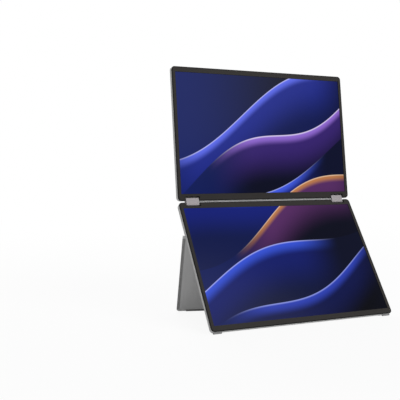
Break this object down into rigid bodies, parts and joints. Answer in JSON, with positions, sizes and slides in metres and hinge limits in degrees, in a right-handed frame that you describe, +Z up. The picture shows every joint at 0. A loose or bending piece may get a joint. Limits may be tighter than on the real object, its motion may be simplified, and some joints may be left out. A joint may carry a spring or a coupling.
{
  "type": "dual portable monitor",
  "caption": "Folding portable monitor: stacked displays joined by two-axis hinges, with a large slanted-hinge stand on the lower back and side sockets and keys.",
  "frame": {"origin": "middle of the overall box at rest, on the table that the part stands on", "axes": "+X to the right seen from the front, the screens face -Y, +Z up"},
  "size_m": [0.3176, 0.1712, 0.3858],
  "materials": {
    "satin_aluminium": "satin, fine blasted",
    "bezel_plastic": "matte, fine texture",
    "screen_glass": "glossy display glass",
    "backplate_aluminium": "mill finish sheet",
    "hinge_silver": "fine sandblasted silver",
    "hinge_steel": "plain steel",
    "screw_steel": "dark zinc",
    "circuit_board": "solder mask",
    "flex_film": "polyimide film",
    "socket_steel": "plated steel",
    "light_guide": "frosted clear plastic",
    "switch_plastic": "moulded",
    "rocker_plastic": "satin black",
    "button_silver": "satin silver",
    "insert_brass": "turned and blackened",
    "foot_rubber": "matte grey rubber"
  },
  "bodies": {
    "lower_display": {"lower_rear_cover": "satin_aluminium", "lower_bezel": "bezel_plastic", "lower_screen": "screen_glass", "lower_backplate": "backplate_aluminium", "lower_driver_board": "circuit_board", "lower_flex_cable": "flex_film", "lower_bracket_screws": "screw_steel", "main_board": "circuit_board", "main_board_screws": "screw_steel", "usb_c_socket_1": "socket_steel", "usb_c_socket_2": "socket_steel", "usb_c_socket_3": "socket_steel", "mini_hdmi_socket": "socket_steel", "status_light": "light_guide", "key_board": "circuit_board", "tact_switches": "switch_plastic", "rocker_pin": "hinge_steel", "tripod_insert": "insert_brass", "lower_hinge_bracket_left": "hinge_steel", "lower_hinge_shaft_left": "hinge_steel", "lower_foot_left": "foot_rubber", "lower_hinge_bracket_right": "hinge_steel", "lower_hinge_shaft_right": "hinge_steel", "lower_foot_right": "foot_rubber"},
    "stand": {"stand_plate": "satin_aluminium", "stand_foot_strip": "foot_rubber", "stand_side_strip": "foot_rubber", "stand_hinge_pin_1": "hinge_steel", "stand_hinge_pin_2": "hinge_steel"},
    "menu_key": {"menu_rocker": "rocker_plastic"},
    "power_key": {"power_button": "button_silver"},
    "hinge_links": {"hinge_link_core_left": "hinge_steel", "hinge_link_sleeve_left": "hinge_silver", "hinge_link_core_right": "hinge_steel", "hinge_link_sleeve_right": "hinge_silver"},
    "upper_display": {"upper_rear_cover": "satin_aluminium", "upper_bezel": "bezel_plastic", "upper_screen": "screen_glass", "upper_backplate": "backplate_aluminium", "upper_driver_board": "circuit_board", "upper_flex_cable": "flex_film", "upper_bracket_screws": "screw_steel", "upper_hinge_bracket_left": "hinge_steel", "upper_hinge_shaft_left": "hinge_steel", "upper_hinge_bracket_right": "hinge_steel", "upper_hinge_shaft_right": "hinge_steel"}
  },
  "joints": [
    {"name": "link_fold", "type": "hinge", "parent": "lower_display", "child": "hinge_links", "pos_m": [0.00176, 0.03059, 0.17312], "axis": [-1, 0, 0], "range_deg": [-76.8, 71]},
    {"name": "screen_fold", "type": "hinge", "parent": "hinge_links", "child": "upper_display", "pos_m": [0.00176, 0.03392, 0.18212], "axis": [-1, 0, 0], "range_deg": [-76.8, 71]},
    {"name": "stand_fold", "type": "hinge", "parent": "lower_display", "child": "stand", "pos_m": [-0.01454, -0.01609, 0.09679], "axis": [0.9659, -0.1429, -0.2158], "range_deg": [-68.84, 12]},
    {"name": "power_press", "type": "slide", "parent": "lower_display", "child": "power_key", "axis": [-1, 0, 0], "range_m": [0, 0.0004], "stiffness_N_per_m": 1500},
    {"name": "menu_rock", "type": "hinge", "parent": "lower_display", "child": "menu_key", "pos_m": [0.15506, -0.02937, 0.08234], "axis": [0, -0.8339, 0.5519], "range_deg": [-4, 4], "stiffness_Nm_per_rad": 0.03}
  ],
  "couplings": [
    {"joint": "link_fold", "follows": "screen_fold", "ratio": 1}
  ]
}
